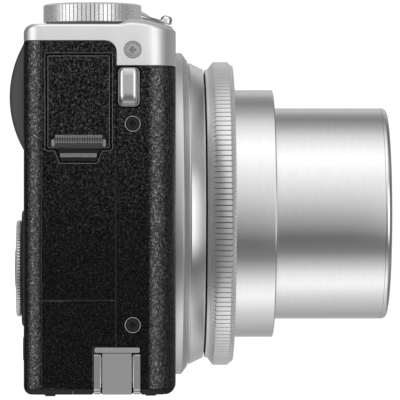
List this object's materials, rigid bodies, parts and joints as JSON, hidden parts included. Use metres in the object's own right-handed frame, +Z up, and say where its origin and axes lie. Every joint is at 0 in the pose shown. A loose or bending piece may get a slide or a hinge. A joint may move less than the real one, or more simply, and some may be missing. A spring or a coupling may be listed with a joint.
{
  "type": "compact digital camera",
  "caption": "Compact digital camera with an extending zoom lens, top dials, rear screen, side connector door and hinged battery door.",
  "frame": {"origin": "centre of the base plate's outer face, under the middle of the body", "axes": "+Z up through the top cover, -Y out through the lens, -X out through the grip side that carries the connector door"},
  "size_m": [0.1004, 0.0599, 0.059],
  "materials": {
    "leatherette": "pebbled matte black leatherette over the metal shells",
    "satin_silver": "fine satin anodised silver",
    "steel": "satin steel",
    "black_plastic": "moulded black",
    "black_screw": "black oxide with bright edges",
    "battery_case": "dark wrap over a metal can",
    "grey_rubber": "smooth dark grey moulded rubber",
    "circuit_board": "green solder mask",
    "lens_glass": "coated optical glass",
    "screen_glass": "polished black cover window",
    "display_stack": "opaque stack of display glass and backlight"
  },
  "bodies": {
    "camera_body": {"front_cover": "leatherette", "rear_cover": "leatherette", "top_cover": "satin_silver", "bottom_plate": "black_plastic", "side_panel_upper": "leatherette", "side_panel_lower": "leatherette", "chassis_frame": "steel", "tripod_socket": "steel", "screen_module": "display_stack", "screen_window": "screen_glass", "main_board": "circuit_board", "image_sensor": "black_plastic", "battery": "battery_case", "battery_chamber": "black_plastic", "memory_card": "black_plastic", "card_slot": "steel", "usb_socket": "steel", "hdmi_socket": "steel", "lens_trim_ring": "satin_silver", "lens_fixed_tube": "black_plastic", "flash_window": "lens_glass", "flash_reflector": "steel", "flash_capacitor": "battery_case", "af_lamp": "lens_glass", "zoom_motor": "steel", "strap_lug_grip": "steel", "strap_lug_left": "steel", "cover_screw": "steel", "side_screw_upper": "black_screw", "side_screw_lower": "black_screw", "thumb_rest": "grey_rubber", "selector_rim": "black_plastic", "hinge_bracket": "steel", "hinge_pin": "steel"},
    "mode_dial": {"mode_dial": "satin_silver"},
    "shutter_button": {"shutter_button": "satin_silver"},
    "zoom_lever": {"zoom_lever": "satin_silver"},
    "power_button": {"power_button": "satin_silver"},
    "movie_button": {"movie_button": "black_plastic"},
    "playback_button": {"playback_button": "black_plastic"},
    "display_button": {"display_button": "black_plastic"},
    "selector_gimbal": {"selector_gimbal": "steel"},
    "selector_disc": {"selector_disc": "steel"},
    "rear_wheel": {"rear_wheel": "satin_silver"},
    "ok_button": {"ok_button": "satin_silver"},
    "control_ring": {"control_ring": "satin_silver"},
    "outer_barrel": {"outer_barrel": "satin_silver", "rear_lens_group": "lens_glass"},
    "inner_barrel": {"inner_barrel": "satin_silver", "front_ring": "satin_silver", "front_lens_cell": "black_plastic", "front_lens_element": "lens_glass"},
    "blade_upper_front": {"barrier_blade_upper_front": "black_plastic"},
    "blade_upper_rear": {"barrier_blade_upper_rear": "black_plastic"},
    "blade_lower_front": {"barrier_blade_lower_front": "black_plastic"},
    "blade_lower_rear": {"barrier_blade_lower_rear": "black_plastic"},
    "connector_door": {"connector_door": "leatherette"},
    "battery_door": {"battery_door": "black_plastic", "battery_door_arm": "steel"},
    "battery_door_latch": {"battery_door_latch": "black_plastic"}
  },
  "joints": [
    {"name": "mode_dial_turn", "type": "hinge", "parent": "camera_body", "child": "mode_dial", "pos_m": [-0.0385, 0.0011, 0.055], "axis": [0, 0, 1], "continuous": true},
    {"name": "shutter_press", "type": "slide", "parent": "camera_body", "child": "shutter_button", "axis": [0, 0.2079, -0.9781], "range_m": [0, 0.0009]},
    {"name": "zoom_lever_turn", "type": "hinge", "parent": "camera_body", "child": "zoom_lever", "pos_m": [-0.024, -0.0049, 0.0569], "axis": [0, -0.2079, 0.9781], "range_deg": [-18, 18]},
    {"name": "power_press", "type": "slide", "parent": "camera_body", "child": "power_button", "axis": [0, 0, -1], "range_m": [0, 0.0004]},
    {"name": "movie_press", "type": "slide", "parent": "camera_body", "child": "movie_button", "axis": [0, -1, 0], "range_m": [0, 0.0004]},
    {"name": "playback_press", "type": "slide", "parent": "camera_body", "child": "playback_button", "axis": [0, -1, 0], "range_m": [0, 0.0004]},
    {"name": "display_press", "type": "slide", "parent": "camera_body", "child": "display_button", "axis": [0, -1, 0], "range_m": [0, 0.0004]},
    {"name": "selector_up_down", "type": "hinge", "parent": "camera_body", "child": "selector_gimbal", "pos_m": [-0.034, 0.0089, 0.0185], "axis": [1, 0, 0], "range_deg": [-1.5, 1.5]},
    {"name": "selector_left_right", "type": "hinge", "parent": "selector_gimbal", "child": "selector_disc", "pos_m": [-0.034, 0.0089, 0.0185], "axis": [0, 0, 1], "range_deg": [-1.5, 1.5]},
    {"name": "rear_wheel_turn", "type": "hinge", "parent": "selector_disc", "child": "rear_wheel", "pos_m": [-0.034, 0.0089, 0.0185], "axis": [0, 1, 0], "continuous": true},
    {"name": "ok_press", "type": "slide", "parent": "selector_disc", "child": "ok_button", "axis": [0, -1, 0], "range_m": [0, 0.0004]},
    {"name": "control_ring_turn", "type": "hinge", "parent": "camera_body", "child": "control_ring", "pos_m": [0.009, -0.019, 0.02668], "axis": [0, -1, 0], "continuous": true},
    {"name": "outer_barrel_slide", "type": "slide", "parent": "camera_body", "child": "outer_barrel", "axis": [0, -1, 0], "range_m": [-0.007, 0]},
    {"name": "inner_barrel_slide", "type": "slide", "parent": "outer_barrel", "child": "inner_barrel", "axis": [0, -1, 0], "range_m": [-0.0181, 0]},
    {"name": "barrier_close", "type": "slide", "parent": "inner_barrel", "child": "blade_upper_front", "axis": [0, 0, -1], "range_m": [0, 0.0086]},
    {"name": "blade_upper_rear_slide", "type": "slide", "parent": "inner_barrel", "child": "blade_upper_rear", "axis": [0, 0, -1], "range_m": [0, 0.0044]},
    {"name": "blade_lower_front_slide", "type": "slide", "parent": "inner_barrel", "child": "blade_lower_front", "axis": [0, 0, 1], "range_m": [0, 0.0086]},
    {"name": "blade_lower_rear_slide", "type": "slide", "parent": "inner_barrel", "child": "blade_lower_rear", "axis": [0, 0, 1], "range_m": [0, 0.0044]},
    {"name": "connector_door_hinge", "type": "hinge", "parent": "camera_body", "child": "connector_door", "pos_m": [-0.04945, 0.00315, 0.04996], "axis": [0, 1, 0], "range_deg": [0, 95]},
    {"name": "battery_door_hinge", "type": "hinge", "parent": "camera_body", "child": "battery_door", "pos_m": [-0.04955, -0.00256, 0.00656], "axis": [0, 1, 0], "range_deg": [0, 95]},
    {"name": "latch_slide", "type": "slide", "parent": "battery_door", "child": "battery_door_latch", "axis": [-1, 0, 0], "range_m": [0, 0.002]}
  ],
  "couplings": [
    {"joint": "inner_barrel_slide", "follows": "outer_barrel_slide", "ratio": 2.585},
    {"joint": "blade_upper_rear_slide", "follows": "barrier_close", "ratio": 0.5},
    {"joint": "blade_lower_front_slide", "follows": "barrier_close", "ratio": 1},
    {"joint": "blade_lower_rear_slide", "follows": "barrier_close", "ratio": 0.5}
  ]
}
